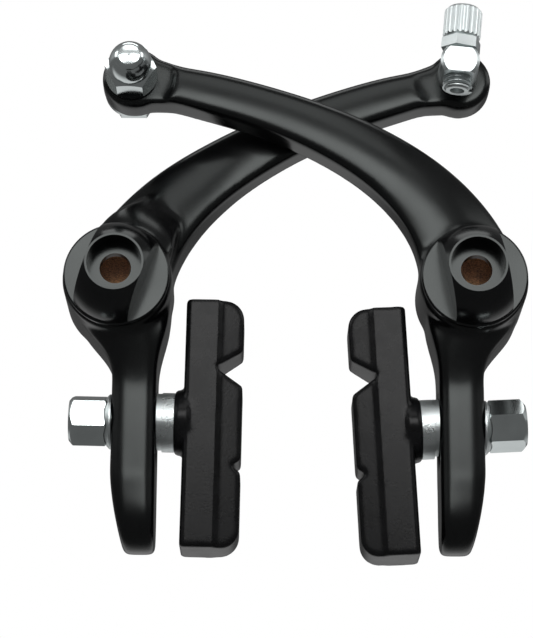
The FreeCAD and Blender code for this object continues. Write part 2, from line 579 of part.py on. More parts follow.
def arm_width(arm, share):
    """Width of an arm at a share of its length."""
    rest = 1 - share
    return (f"{rest ** 2:.4f} * Sizes.{arm}_root_width + {2 * rest * share:.4f} * Sizes.{arm}_waist_width"
            f" + {share ** 2:.4f} * Sizes.arm_tip_width"
            f" + {ease(share, NECK_START, NECK_END):.4f} * Sizes.arm_neck_flare")


def rear_arm_front(share):
    """Front depth of the rear arm, which sinks from its hub to pass behind the front arm."""
    swell = 1 - ease(share, SWELL_START, SWELL_END)
    return f"{REAR_ARM_FRONT} + {swell:.4f} * Sizes.rear_arm_swell"


def shoulder_front(share):
    """Front depth of the rear arm's shoulder, level with the hub and then ramping down to the arm."""
    ramp = ease(share, RAMP_START, RAMP_END)
    top = f"({FRONT_ARM_FRONT} - Sizes.shoulder_drop)"
    return f"{1 - ramp:.4f} * {top} + {ramp:.4f} * ({rear_arm_front(share)} - Sizes.arm_front_drop)"


def shoulder_inset(share):
    """Inset of the shoulder's sides from the arm's, which grows where the shoulder runs out."""
    return f"(Sizes.shoulder_inset + {ease(share, RAMP_START, RAMP_END):.4f} * Sizes.shoulder_taper)"


def no_inset(share):
    """Inset of the arm's own sides."""
    return "0"


def arm_loft(body, name, side, controls, stations, rear, front, inset=no_inset):
    """Loft crowned sections along an arm; front and inset give depth and inset at a station."""
    arm = body.Label
    sections = []
    for index, share in enumerate(stations):
        point, (along_x, along_z) = curve_point(controls, share)
        place = across(side, point[0], point[1], -along_z, along_x)
        sections.append(crowned_section(
            body, f"{name}_{index}", place, f"{arm_width(arm, share)} - 2 * {inset(share)}", rear, front(share),
            "Sizes.arm_crown_radius", "Sizes.arm_crown_shift", "Sizes.arm_low_edge", "Sizes.arm_top_edge"))
    return loft(body, name, sections)


def leg_offset(side):
    """Shift of a leg from its post towards the wheel."""
    return "Sizes.left_leg_offset" if side == LEFT else "Sizes.right_leg_offset"


def flare_offset(side):
    """Shift of a leg from its post where it leaves the hub."""
    return "Sizes.left_flare_offset" if side == LEFT else "Sizes.right_flare_offset"


def leg_section(body, name, side, drop, offset, width, rear, front):
    """Level section of a leg."""
    place = across(side, value(offset), -value(drop), 1, 0)
    return crowned_section(body, name, place, width, rear, front, "Sizes.leg_crown_radius", "0",
                           "Sizes.leg_edge", "Sizes.leg_edge")


def make_leg(body, side):
    """Leg with a flare under the hub, straight pad seats and a tapered tip."""
    shift = leg_offset(side)
    flare = []
    for index, share in enumerate(FLARE_STATIONS):
        swell = math.cos(math.pi / 2 * min(share / FLARE_END, 1)) ** 2
        lift = math.cos(math.pi / 2 * share) ** 2
        drop = f"Sizes.leg_flare_start + {share} * (Sizes.leg_seat_top - Sizes.leg_flare_start)"
        offset = f"{shift} + {swell:.4f} * ({flare_offset(side)} - {shift})"
        width = f"Sizes.leg_width + {swell:.4f} * (Sizes.leg_flare_width - Sizes.leg_width)"
        rear = f"Sizes.leg_rear - {lift:.4f} * (Sizes.leg_rear - Sizes.hub_rear - Sizes.arm_front_drop)"
        front = f"{LEG_FRONT} + {lift:.4f} * ({FRONT_ARM_FRONT} - {LEG_FRONT})"
        flare.append(leg_section(body, f"flare_{index}", side, drop, offset, width, rear, front))
    loft(body, "flare", flare)
    seat = leg_section(body, "seat", side, "Sizes.leg_seat_top", shift, "Sizes.leg_width",
                       "Sizes.leg_rear", LEG_FRONT)
    down = seat.AttachmentOffset.Rotation.multVec(Z_AXIS).z < 0
    extrude(body, "Pad", "seats", seat, "Sizes.leg_seat_length", reverse=not down)
    for name, stations in (("tip", TIP_STATIONS), ("tip_end", TIP_END_STATIONS)):
        loft(body, name, [tip_section(body, f"{name}_{index}", side, share)
                          for index, share in enumerate(stations)])


def tip_section(body, name, side, share):
    """Section of a leg's tip, which tapers on its outer side and closes in a round end."""
    start = TIP_END_STATIONS[0]
    way = max(share - start, 0) / (1 - start)
    closing = f"{1 - math.sqrt(1 - way ** 2):.4f} * Sizes.leg_tip_round"
    narrowing = f"{share ** 1.5:.4f} * (Sizes.leg_width - Sizes.leg_tip_width)"
    drop = f"{SEAT_BOTTOM} + {share} * (Sizes.leg_tip_drop - {SEAT_BOTTOM})"
    width = f"Sizes.leg_width - {narrowing} - 2 * {closing}"
    offset = f"{leg_offset(side)} + {narrowing} / 2"
    rear = f"Sizes.leg_rear + {share ** 4:.4f} * Sizes.leg_edge + {closing}"
    front = f"{LEG_FRONT} - {share ** 7:.4f} * Sizes.leg_tip_slope - {closing}"
    return leg_section(body, name, side, drop, offset, width, rear, front)


def cut_slot(body):
    """Upright slot for the pad stud, through the leg."""
    half = "Sizes.slot_width / 2"
    rear, front = f"-({STUD_DEPTH} - {half})", f"-({STUD_DEPTH} + {half})"
    middle = f"-{STUD_DEPTH}"
    top, bottom = "-Sizes.slot_top_drop", "-Sizes.slot_bottom_drop"
    steps = [
        (rear, top),
        (middle, f"{top} + {half}", half, 1),
        (front, top, half, 1),
        (front, bottom),
        (middle, f"{bottom} - {half}", half, 1),
        (rear, bottom, half, 1),
    ]
    slot = outline(body, "slot", "YZ_Plane", steps)
    feature = extrude(body, "Pocket", "slot_cut", slot, "Sizes.post_spacing * 2")
    feature.SideType = "Symmetric"
    doc.recompute()


def bore_hub(body, side, angle):
    """Bush bore, spring recess and the hole for the spring's rear leg."""
    rear = f"-(Sizes.hub_rear - {CUT_MARGIN})"
    front = f"-({HUB_FRONT} + {CUT_MARGIN})"
    place = FreeCAD.Placement(FreeCAD.Vector(value(post_x(side)), 0, 0), FreeCAD.Rotation())
    steps = [
        ("0", rear),
        (HUB_BORE, rear),
        (HUB_BORE, f"-{SPRING_FLOOR}"),
        ("Sizes.spring_room_radius", f"-{SPRING_FLOOR}"),
        ("Sizes.spring_room_radius", front),
        ("0", front),
    ]
    turn_about(body, "Groove", "hub_bore", outline(body, "bore", "XY_Plane", steps, place), "V_Axis")
    x = f"{post_x(side)} + Sizes.spring_coil_radius * sin({angle} * 1 deg)"
    z = f"Sizes.spring_coil_radius * cos({angle} * 1 deg)"
    hole = circle(body, "spring_hole", "XZ_Plane", x, z, SPRING_HOLE, at_depth(SPRING_FLOOR))
    extrude(body, "Pocket", "spring_hole_cut", hole, "Sizes.spring_leg + Sizes.spring_hole_play")


def add_hub(body, side):
    """Hub with rounded rims."""
    edge, radius = "Sizes.hub_edge", "Sizes.hub_radius"
    steps = [
        ("0", "-Sizes.hub_rear"),
        (f"{radius} - {edge}", "-Sizes.hub_rear"),
        (radius, f"-(Sizes.hub_rear + {edge})", edge, -1),
        (radius, f"-({HUB_FRONT} - {edge})"),
        (f"{radius} - {edge}", f"-{HUB_FRONT}", edge, -1),
        ("0", f"-{HUB_FRONT}"),
    ]
    place = FreeCAD.Placement(FreeCAD.Vector(value(post_x(side)), 0, 0), FreeCAD.Rotation())
    turn_about(body, "Revolution", "hub", outline(body, "hub_section", "XY_Plane", steps, place), "V_Axis")


def add_end(body, middle, centre, rear, hole):
    """Round upper end about its middle, with a milled flat and a hole about their own centre, in x and z."""
    edge, radius = "Sizes.arm_end_edge", "Sizes.arm_end_radius"
    front = f"({rear} + Sizes.arm_end_thickness)"
    place = FreeCAD.Placement(FreeCAD.Vector(value(middle[0]), 0, value(middle[1])), FreeCAD.Rotation())
    steps = [
        ("0", f"-{rear}"),
        (radius, f"-{rear}"),
        (radius, f"-({front} - {edge})"),
        (f"{radius} - {edge}", f"-{front}", edge, -1),
        ("0", f"-{front}"),
    ]
    turn_about(body, "Revolution", "end", outline(body, "end_section", "XY_Plane", steps, place), "V_Axis")
    far = f"-({front} + Sizes.arm_crown_radius)"
    cut = [
        ("0", f"-({rear} - {CUT_MARGIN})"),
        (hole, f"-({rear} - {CUT_MARGIN})"),
        (hole, f"-{front}"),
        ("Sizes.spot_face_radius", f"-{front}"),
        ("Sizes.spot_face_radius", far),
        ("0", far),
    ]
    place = FreeCAD.Placement(FreeCAD.Vector(value(centre[0]), 0, value(centre[1])), FreeCAD.Rotation())
    turn_about(body, "Groove", "spot_face", outline(body, "end_cut", "XY_Plane", cut, place), "V_Axis")


def arm_end(side, reach, rise):
    """Place of an arm's upper end in x and z."""
    return f"({post_x(side)} - {side} * {reach})", rise


def make_front_arm():
    body = new_body("front_arm")
    reach, rise = "(Sizes.front_arm_reach - Sizes.front_end_back)", "Sizes.front_arm_rise"
    controls = arm_curve("front_arm", reach, rise)
    add_hub(body, RIGHT)
    arm_loft(body, "arm", RIGHT, controls, ARM_STATIONS, FRONT_ARM_REAR, lambda share: FRONT_ARM_FRONT)
    make_leg(body, RIGHT)
    add_end(body, arm_end(RIGHT, reach, rise), arm_end(RIGHT, "Sizes.front_arm_reach", rise), FRONT_ARM_REAR,
            BOLT_HOLE)
    bore_hub(body, RIGHT, "Sizes.right_cap_turn")
    cut_slot(body)


def make_rear_arm():
    body = new_body("rear_arm")
    reach, rise = "(Sizes.rear_arm_reach + Sizes.rear_end_out)", "(Sizes.rear_arm_rise - Sizes.rear_end_drop)"
    controls = arm_curve("rear_arm", reach, rise)
    add_hub(body, LEFT)
    shoulder_rear = "Sizes.rear_arm_rear + Sizes.rear_arm_depth / 2"
    arm_loft(body, "shoulder", LEFT, controls, SHOULDER_STATIONS, shoulder_rear, shoulder_front,
             shoulder_inset)
    arm_loft(body, "arm", LEFT, controls, ARM_STATIONS, "Sizes.rear_arm_rear", rear_arm_front)
    make_leg(body, LEFT)
    add_end(body, arm_end(LEFT, reach, rise), arm_end(LEFT, "Sizes.rear_arm_reach", "Sizes.rear_arm_rise"),
            "Sizes.rear_arm_rear", SPINDLE_HOLE)
    bore_hub(body, LEFT, "Sizes.left_cap_turn")
    cut_slot(body)


# Pads: built about the middle of the leg on the stud's axis, with local x towards the wheel

def put_pad_part(body, side, lean):
    """Place a pad part on its leg, leaning by an angle with its top towards the wheel."""
    drop = "Sizes.left_pad_drop" if side == LEFT else "Sizes.right_pad_drop"
    turn = FreeCAD.Rotation(Y_AXIS, -side * lean)
    if side == RIGHT:
        turn = turn.multiply(FreeCAD.Rotation(Z_AXIS, 180))
    put(body, f"{post_x(side)} - {side} * {leg_offset(side)}", f"-{STUD_DEPTH}", f"-{drop}", turn)


def ball(radius, at):
    """Distance from the leg's middle to a ball's surface at a radius from the stud's axis."""
    return f"sqrt({radius} ^ 2 - ({at}) ^ 2)"


def make_dome_washer(name, side, hand, radius, dome):
    """Washer with a flat side on the leg and a ball-shaped side; hand 1 is the wheel's side."""
    body = new_body(name)
    hole = "Sizes.dome_hole_radius"
    steps = [
        (f"{hand} * {LEG_SEAT}", hole),
        (f"{hand} * {LEG_SEAT}", radius),
        (f"{hand} * {ball(dome, radius)}", radius),
        (f"{hand} * {ball(dome, hole)}", hole, dome, -hand),
    ]
    turn_about(body, "Revolution", "turned", outline(body, "section", "XY_Plane", steps), "H_Axis")
    put_pad_part(body, side, 0)


def make_spacer(name, side, lean):
    body = new_body(name)
    radius = "Sizes.spacer_radius"
    steps = [
        (ball(SPACER_CUP, STUD_HOLE), STUD_HOLE),
        (ball(SPACER_CUP, radius), radius, SPACER_CUP, 1),
        ("Sizes.spacer_end", radius),
        ("Sizes.spacer_end", STUD_HOLE),
    ]
    turn_about(body, "Revolution", "turned", outline(body, "section", "XY_Plane", steps), "H_Axis")
    put_pad_part(body, side, lean)


def make_stud(name, side, lean):
    body = new_body(name)
    steps = [
        (f"-{STUD_END}", "0"),
        (f"-{STUD_END}", "Sizes.stud_radius"),
        (HEAD_START, "Sizes.stud_radius"),
        (HEAD_START, "Sizes.stud_head_radius"),
        (HEAD_END, "Sizes.stud_head_radius"),
        (HEAD_END, "0"),
    ]
    turn_about(body, "Revolution", "turned", outline(body, "section", "XY_Plane", steps), "H_Axis")
    put_pad_part(body, side, lean)


def make_pad_nut(name, side, lean):
    body = new_body(name)
    cup_edge = "(Sizes.pad_nut_flats / 2 / cos(30 deg))"
    rim = f"({ball(NUT_CUP, cup_edge)})"
    end = "Sizes.pad_nut_end"
    start = FreeCAD.Placement(FreeCAD.Vector(0, 0, -value(end)), FreeCAD.Rotation())
    turn = "Sizes.left_nut_turn" if side == LEFT else "Sizes.right_nut_turn"
    blank = hexagon(body, "hexagon", "YZ_Plane", "Sizes.pad_nut_flats", start, -value(turn))
    extrude(body, "Pad", "blank", blank, f"{end} - {rim} + {CUT_MARGIN} / 2")
    mouth = f"({rim} - {CUT_MARGIN})"
    bore = [
        (f"-{mouth}", "0"),
        (f"-{mouth}", ball(NUT_CUP, mouth)),
        (f"-{ball(NUT_CUP, STUD_HOLE)}", STUD_HOLE, NUT_CUP, 1),
        (f"-{NUT_BORE_END}", STUD_HOLE),
        (f"-{NUT_BORE_END}", "0"),
    ]
    turn_about(body, "Groove", "cup_and_bore", outline(body, "bore", "XY_Plane", bore), "H_Axis")
    outer = f"({cup_edge} + {CUT_MARGIN})"
    chamfer = [
        (f"-({end} + {CUT_MARGIN})", f"Sizes.pad_nut_flats / 2 - {CUT_MARGIN} - Sizes.nut_chamfer / 2"),
        (f"-({end} + {CUT_MARGIN})", outer),
        (f"-({end} - Sizes.nut_chamfer)", outer),
        (f"-({end} - Sizes.nut_chamfer)", cup_edge),
        (f"-{end}", "Sizes.pad_nut_flats / 2 - Sizes.nut_chamfer / 2"),
    ]
    turn_about(body, "Groove", "chamfer_cut", outline(body, "chamfer", "XY_Plane", chamfer), "H_Axis")
    bevel = "Sizes.nut_chamfer / 2"
    lip = [
        (f"-({rim} + {bevel})", outer),
        (f"-({rim} + {bevel})", cup_edge),
        (f"-{rim}", f"{cup_edge} - {bevel} * 1.4"),
        (f"-{mouth}", f"{cup_edge} - {bevel} * 1.4"),
        (f"-{mouth}", outer),
    ]
    turn_about(body, "Groove", "lip_cut", outline(body, "lip", "XY_Plane", lip), "H_Axis")
    put_pad_part(body, side, lean)


def make_pad_rubber(name, side, lean):
    body = new_body(name)
    half, face = "Sizes.pad_height / 2", "Sizes.pad_face_height / 2"
    edge = "Sizes.pad_back_edge"
    wear = f"({PAD_BACK} + Sizes.pad_wear_depth)"
    ledge = f"({half} - Sizes.pad_wear_step)"
    steps = [
        (PAD_BACK, f"-({half} - {edge})"),
        (f"{PAD_BACK} + {edge}", f"-({half})", edge, 1),
        (wear, f"-({half})"),
        (wear, f"-{ledge}"),
        (PAD_FACE, f"-({face})"),
        (PAD_FACE, face),
        (wear, ledge),
        (wear, half),
        (f"{PAD_BACK} + {edge}", half),
        (PAD_BACK, f"{half} - {edge}", edge, 1),
    ]
    foot = FreeCAD.Placement(FreeCAD.Vector(0, 0, -value("Sizes.pad_below")), FreeCAD.Rotation())
    block = outline(body, "section", "XY_Plane", steps, foot)
    extrude(body, "Pad", "block", block, "Sizes.pad_above + Sizes.pad_below")
    fillet(body, "end_rounding", pad_end_edges(body), "Sizes.pad_corner")
    for word, height, depth in (("notch", "Sizes.notch_rise", "Sizes.notch_depth"),
                                ("chip", "-Sizes.chip_drop", "Sizes.chip_depth")):
        mouth = f"({depth} + {CUT_MARGIN}) * Sizes.notch_slope"
        corners = [
            (f"{PAD_FACE} - {depth}", height),
            (f"{PAD_FACE} + {CUT_MARGIN}", f"{height} - {mouth}"),
            (f"{PAD_FACE} + {CUT_MARGIN}", f"{height} + {mouth}"),
        ]
        cut = outline(body, word, "XZ_Plane", corners)
        extrude(body, "Pocket", f"{word}_cut", cut, "Sizes.pad_height * 2").SideType = "Symmetric"
    boss_edge, boss = "Sizes.pad_boss_edge", "Sizes.pad_boss_radius"
    steps = [
        ("Sizes.spacer_end", "0"),
        ("Sizes.spacer_end", f"{boss} - {boss_edge}"),
        (f"Sizes.spacer_end + {boss_edge}", boss, boss_edge, -1),
        (HEAD_START, boss),
        (HEAD_START, "0"),
    ]
    turn_about(body, "Revolution", "boss", outline(body, "boss_section", "XY_Plane", steps), "H_Axis")
    cavity = [
        (f"Sizes.spacer_end - {CUT_MARGIN}", "0"),
        (f"Sizes.spacer_end - {CUT_MARGIN}", "Sizes.stud_radius"),
        (HEAD_START, "Sizes.stud_radius"),
        (HEAD_START, "Sizes.stud_head_radius"),
        (HEAD_END, "Sizes.stud_head_radius"),
        (HEAD_END, "0"),
    ]
    turn_about(body, "Groove", "stud_cavity", outline(body, "cavity", "XY_Plane", cavity), "H_Axis")
    put_pad_part(body, side, lean)


def pad_end_edges(body):
    """Names of the two edges where the braking face meets the block's ends."""
    shape = body.Tip.Shape
    face = value(PAD_FACE)
    names = []
    for index, edge in enumerate(shape.Edges, start=1):
        level = edge.BoundBox.ZLength < 0.01 and abs(edge.BoundBox.Center.x - face) < 0.01
        if level:
            names.append(f"Edge{index}")
    return names


# Cable anchor on the front arm's upper end

def put_anchor(body):
    x, z = arm_end(RIGHT, "Sizes.front_arm_reach", "Sizes.front_arm_rise")
    put(body, x, "0", z)


def make_anchor_bolt():
    body = new_body("anchor_bolt")
    head = hexagon(body, "hexagon", "XZ_Plane", "Sizes.bolt_head_flats", at_depth(HEAD_REAR),
                   value("Sizes.bolt_head_turn"))
    extrude(body, "Pad", "head", head, "Sizes.bolt_head")
    shank = circle(body, "shank_section", "XZ_Plane", "0", "0", "Sizes.bolt_radius", at_depth(HEAD_REAR))
    extrude(body, "Pad", "shank", shank, f"{CAP_NUT_BORE_END} - Sizes.bolt_play - {HEAD_REAR}")
    put_anchor(body)


def make_anchor_washer():
    body = new_body("anchor_washer")
    profile = ring_profile(BOLT_HOLE, "Sizes.anchor_washer_radius", ANCHOR_FRONT, CAP_NUT_REAR)
    turn_about(body, "Revolution", "ring", outline(body, "section", "XY_Plane", profile), "V_Axis")
    put_anchor(body)


def make_clamp_plate():
    body = new_body("anchor_clamp_plate")
    profile = ring_profile(BOLT_HOLE, "Sizes.clamp_radius", CLAMP_REAR, FRONT_ARM_REAR)
    turn_about(body, "Revolution", "plate", outline(body, "section", "XY_Plane", profile), "V_Axis")
    start = FreeCAD.Placement(FreeCAD.Vector(0, 0, -value("Sizes.clamp_radius")), FreeCAD.Rotation())
    groove = circle(body, "groove", "YZ_Plane", f"-{FRONT_ARM_REAR}",
                    f"{BOLT_HOLE} + Sizes.cable_radius", "Sizes.cable_radius", start)
    extrude(body, "Pocket", "groove_cut", groove, "Sizes.clamp_radius * 2", reverse=True)
    put_anchor(body)


def make_cap_nut():
    body = new_body("anchor_cap_nut")
    blank = hexagon(body, "hexagon", "XZ_Plane", "Sizes.cap_nut_flats", at_depth(CAP_NUT_REAR),
                    value("Sizes.cap_nut_turn"))
    extrude(body, "Pad", "blank", blank, "Sizes.cap_nut_hexagon")
    corner = "(Sizes.cap_nut_flats / 2 / cos(30 deg))"
    far = f"({corner} + {CUT_MARGIN})"
    bevel = "Sizes.nut_chamfer / 2"
    chamfer = [
        (f"Sizes.cap_nut_flats / 2 - {bevel}", f"-{CAP_NUT_TOP}"),
        (corner, f"-({CAP_NUT_TOP} - Sizes.nut_chamfer)"),
        (far, f"-({CAP_NUT_TOP} - Sizes.nut_chamfer)"),
        (far, f"-({CAP_NUT_TOP} + {CUT_MARGIN})"),
        (f"Sizes.cap_nut_flats / 2 - {bevel}", f"-({CAP_NUT_TOP} + {CUT_MARGIN})"),
    ]
    turn_about(body, "Groove", "chamfer_cut", outline(body, "chamfer", "XY_Plane", chamfer), "V_Axis")
    dome = "Sizes.cap_nut_dome"
    skirt = f"({CAP_NUT_TOP} - {bevel})"
    brim = f"({DOME_TOP} - Sizes.cap_nut_crown)"
    edge = "Sizes.cap_nut_round"
    steps = [
        ("0", f"-{skirt}"),
        (dome, f"-{skirt}"),
        (dome, f"-{CAP_NUT_TOP}"),
        (f"Sizes.cap_nut_top + {edge} * 0.75", f"-({brim} - {edge} * 0.65)", "Sizes.cap_nut_dome_curve", -1),
        ("Sizes.cap_nut_top", f"-{brim}", edge, -1),
        ("0", f"-{DOME_TOP}", "(Sizes.cap_nut_top ^ 2 / Sizes.cap_nut_crown + Sizes.cap_nut_crown) / 2", -1),
    ]
    turn_about(body, "Revolution", "dome", outline(body, "dome_section", "XY_Plane", steps), "V_Axis")
    hole = circle(body, "bore", "XZ_Plane", "0", "0", BOLT_HOLE, at_depth(CAP_NUT_REAR))
    depth = f"{CAP_NUT_BORE_END} - {CAP_NUT_REAR}"
    extrude(body, "Pocket", "bore_cut", hole, depth, reverse=True)
    put_anchor(body)


# Cable adjuster on the rear arm's upper end

def put_swivel(body, depth="0", lean=True):
    x, z = arm_end(LEFT, "Sizes.rear_arm_reach", "Sizes.rear_arm_rise")
    angle = value("Sizes.swivel_lean") if lean else 0
    put(body, x, f"-{depth}" if depth != "0" else "0", z, FreeCAD.Rotation(Y_AXIS, angle))


def make_swivel_washer():
    body = new_body("swivel_washer")
    top = f"({SWIVEL_FACE} + Sizes.washer_thickness)"
    profile = ring_profile(SPINDLE_HOLE, "Sizes.swivel_washer_radius", SWIVEL_FACE, top)
    turn_about(body, "Revolution", "ring", outline(body, "section", "XY_Plane", profile), "V_Axis")
    put_swivel(body, lean=False)


def make_swivel_block():
    body = new_body("swivel_block")
    tail = "-(Sizes.rear_arm_rear - Sizes.spindle_tail)"
    groove, spindle, radius = "Sizes.clip_groove_radius", "Sizes.spindle_radius", "Sizes.swivel_radius"
    clip_rear = f"-({CLIP_REAR} - Sizes.clip_gap)"
    clip_front = f"-({CLIP_FRONT} + Sizes.clip_gap / 2)"
    steps = [
        ("0", tail),
        (spindle, tail),
        (spindle, clip_rear),
        (groove, clip_rear),
        (groove, clip_front),
        (spindle, clip_front),
        (spindle, f"-{BLOCK_REAR}"),
        (radius, f"-{BLOCK_REAR}"),
        (radius, f"-({BLOCK_FRONT} - Sizes.swivel_edge)"),
        (f"{radius} - Sizes.swivel_edge", f"-{BLOCK_FRONT}"),
        ("0", f"-{BLOCK_FRONT}"),
    ]
    turn_about(body, "Revolution", "turned", outline(body, "section", "XY_Plane", steps), "V_Axis")
    far = f"({radius} + {CUT_MARGIN})"
    for hand, word in ((1, "upper"), (-1, "lower")):
        near, out = f"{hand} * Sizes.swivel_flats / 2", f"{hand} * {far}"
        corners = [(f"-{far}", near), (far, near), (far, out), (f"-{far}", out)]
        cut = outline(body, f"{word}_flat", "XZ_Plane", corners, at_depth(BLOCK_FRONT))
        extrude(body, "Pocket", f"{word}_flat_cut", cut, "Sizes.swivel_length")
    hole = circle(body, "thread", "XY_Plane", "0", f"-{BARREL_DEPTH}", THREAD_HOLE)
    extrude(body, "Pocket", "thread_cut", hole, f"2 * {far}").SideType = "Symmetric"
    put_swivel(body)


def make_swivel_clip():
    body = new_body("swivel_clip")
    profile = ring_profile("Sizes.clip_groove_radius + Sizes.clip_gap / 2", "Sizes.clip_radius", CLIP_REAR,
                           CLIP_FRONT)
    turn_about(body, "Revolution", "ring", outline(body, "section", "XY_Plane", profile), "V_Axis")
    half, far = "Sizes.clip_mouth / 2", f"(Sizes.clip_radius + {CUT_MARGIN})"
    corners = [(f"-({half})", "0"), (half, "0"), (half, f"-{far}"), (f"-({half})", f"-{far}")]
    cut = outline(body, "mouth", "XZ_Plane", corners, at_depth(CLIP_FRONT))
    extrude(body, "Pocket", "mouth_cut", cut, "2 * Sizes.clip_thickness").SideType = "Symmetric"
    put_swivel(body)


def make_lock_nut():
    body = new_body("barrel_lock_nut")
    foot = FreeCAD.Placement(FreeCAD.Vector(0, 0, value(LOCK_NUT_FOOT)), FreeCAD.Rotation())
    blank = hexagon(body, "hexagon", "XY_Plane", "Sizes.lock_nut_flats", foot, -value("Sizes.lock_nut_turn"))
    extrude(body, "Pad", "blank", blank, "Sizes.lock_nut_height")
    hole = circle(body, "bore", "XY_Plane", "0", "0", THREAD_HOLE, foot)
    extrude(body, "Pocket", "bore_cut", hole, "Sizes.lock_nut_height", reverse=True)
    put_swivel(body, BARREL_DEPTH)


def make_barrel():
    body = new_body("barrel_adjuster")
    head, edge, thread = "Sizes.barrel_head_radius", "Sizes.barrel_head_edge", "Sizes.thread_radius"
    bottom = "-Sizes.thread_below"
    shelf = f"({BARREL_TOP} - Sizes.housing_depth)"
    steps = [
        ("Sizes.cable_mouth_radius", bottom),
        (f"{thread} - {edge} / 2", bottom),
        (thread, f"{bottom} + {edge} / 2"),
        (thread, BARREL_HEAD_FOOT),
        (f"{head} - {edge}", BARREL_HEAD_FOOT),
        (head, f"{BARREL_HEAD_FOOT} + {edge}"),
        (head, f"{BARREL_TOP} - {edge}"),
        (f"{head} - {edge}", BARREL_TOP),
        ("Sizes.housing_radius", BARREL_TOP),
        ("Sizes.housing_radius", shelf),
        ("Sizes.cable_hole_radius", shelf),
        ("Sizes.cable_hole_radius", f"{bottom} + Sizes.cable_mouth_depth"),
    ]
    turn_about(body, "Revolution", "turned", outline(body, "section", "XZ_Plane", steps), "V_Axis")
    foot = FreeCAD.Placement(FreeCAD.Vector(0, 0, value(BARREL_HEAD_FOOT)), FreeCAD.Rotation())
    flute = circle(body, "flute", "XY_Plane", f"{head} + Sizes.knurl_radius - Sizes.knurl_depth", "0",
                   "Sizes.knurl_radius", foot)
    cut = extrude(body, "Pocket", "flute_cut", flute, "Sizes.barrel_head_height", reverse=True)
    pattern = body.newObject("PartDesign::PolarPattern", "barrel_adjuster_knurl")
    pattern.Originals = [cut]
    pattern.Axis = (flute, ["N_Axis"])
    pattern.Angle = 360
    pattern.setExpression("Occurrences", "Sizes.knurl_count")
    body.Tip = pattern
    doc.recompute()
    put_swivel(body, BARREL_DEPTH)


for word, side in (("left", LEFT), ("right", RIGHT)):
    turn = f"Sizes.{word}_cap_turn"
    make_bush(f"{word}_pivot_bush", side)
    make_cap(f"{word}_tension_cap", side, turn)
    make_spring(f"{word}_return_spring", side, turn)
    pad_lean = value(f"Sizes.{word}_pad_lean")
    make_dome_washer(f"{word}_inner_washer", side, 1, "Sizes.inner_washer_radius", "Sizes.inner_dome_radius")
    make_dome_washer(f"{word}_outer_washer", side, -1, "Sizes.outer_washer_radius", "Sizes.outer_dome_radius")
    make_spacer(f"{word}_pad_spacer", side, pad_lean)
    make_stud(f"{word}_pad_stud", side, pad_lean)
    make_pad_nut(f"{word}_pad_nut", side, pad_lean)
    make_pad_rubber(f"{word}_pad_rubber", side, pad_lean)
make_front_arm()
make_rear_arm()
make_anchor_bolt()
make_anchor_washer()
make_clamp_plate()
make_cap_nut()
make_swivel_washer()
make_swivel_block()
make_swivel_clip()
make_lock_nut()
make_barrel()
doc.recompute()

faults = [item.Name for item in doc.Objects if {"Invalid", "Error"} & set(item.State)]
for body in parts:
    shape = body.Shape
    if shape.isNull() or not shape.isValid() or len(shape.Solids) != 1:
        faults.append(f"{body.Label} shape")
if faults:
    raise RuntimeError("not built: " + ", ".join(faults))
os.makedirs("parts", exist_ok=True)
for body in parts:
    body.Shape.exportStep(f"parts/{body.Label}.step")
    print(body.Label, f"{body.Shape.Volume:.1f} mm3")
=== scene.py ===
import json
import math

import bpy
from mathutils import Matrix, Vector


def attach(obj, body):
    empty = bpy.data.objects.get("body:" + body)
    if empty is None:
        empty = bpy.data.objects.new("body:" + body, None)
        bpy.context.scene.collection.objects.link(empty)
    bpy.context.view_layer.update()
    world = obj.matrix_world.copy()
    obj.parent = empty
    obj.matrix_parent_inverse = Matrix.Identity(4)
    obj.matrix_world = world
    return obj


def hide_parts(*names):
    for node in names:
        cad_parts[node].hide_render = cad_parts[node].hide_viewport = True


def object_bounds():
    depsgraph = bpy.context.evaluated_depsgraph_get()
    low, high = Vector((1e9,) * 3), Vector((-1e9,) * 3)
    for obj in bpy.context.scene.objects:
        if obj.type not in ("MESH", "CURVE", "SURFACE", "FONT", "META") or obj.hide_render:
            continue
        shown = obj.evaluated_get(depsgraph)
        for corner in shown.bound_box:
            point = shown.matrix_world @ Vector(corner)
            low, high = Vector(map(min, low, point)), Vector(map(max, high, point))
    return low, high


# Looks of a bicycle u-brake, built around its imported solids. All lengths are metres in the part's frame:
# X right as seen from the front, Y towards the frame, Z up.

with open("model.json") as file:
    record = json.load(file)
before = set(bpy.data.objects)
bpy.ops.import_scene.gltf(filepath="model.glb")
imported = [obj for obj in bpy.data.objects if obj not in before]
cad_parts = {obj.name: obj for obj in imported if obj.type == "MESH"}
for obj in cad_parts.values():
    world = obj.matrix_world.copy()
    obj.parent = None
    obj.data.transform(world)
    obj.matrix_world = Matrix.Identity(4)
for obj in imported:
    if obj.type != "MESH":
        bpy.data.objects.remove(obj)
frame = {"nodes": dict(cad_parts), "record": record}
cad_low, cad_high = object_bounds()
nodes = frame["nodes"]
MM = 0.001
QUARTER_TURN = math.pi / 2

# Camera, fitted to the photograph: it stands low in front of the brake and looks up at it
CAMERA_PLACE = Vector((-6.3, -523.3, -160.7)) * MM
CAMERA_TILT = math.radians(16.7)
CAMERA_ROLL = math.radians(0.3)
FOCAL_PIXELS = 2425
FRAME_HEIGHT = 638
SENSOR_HEIGHT = 36.0
NEAREST_SEEN = 0.01
FARTHEST_SEEN = 20

# Barrel adjuster, as it stands in the swivel block on the rear arm's upper end
SWIVEL_PLACE = Vector((36.95, -14.4, 51.8)) * MM
SWIVEL_LEAN = math.radians(5.5)
RIDGE_CORNERS = 3
THREAD_RADIUS = 2.95 * MM
THREAD_PITCH = 1.0 * MM
THREAD_FOOT = -5.6 * MM
THREAD_TURNS = 3
STEPS_PER_TURN = 32

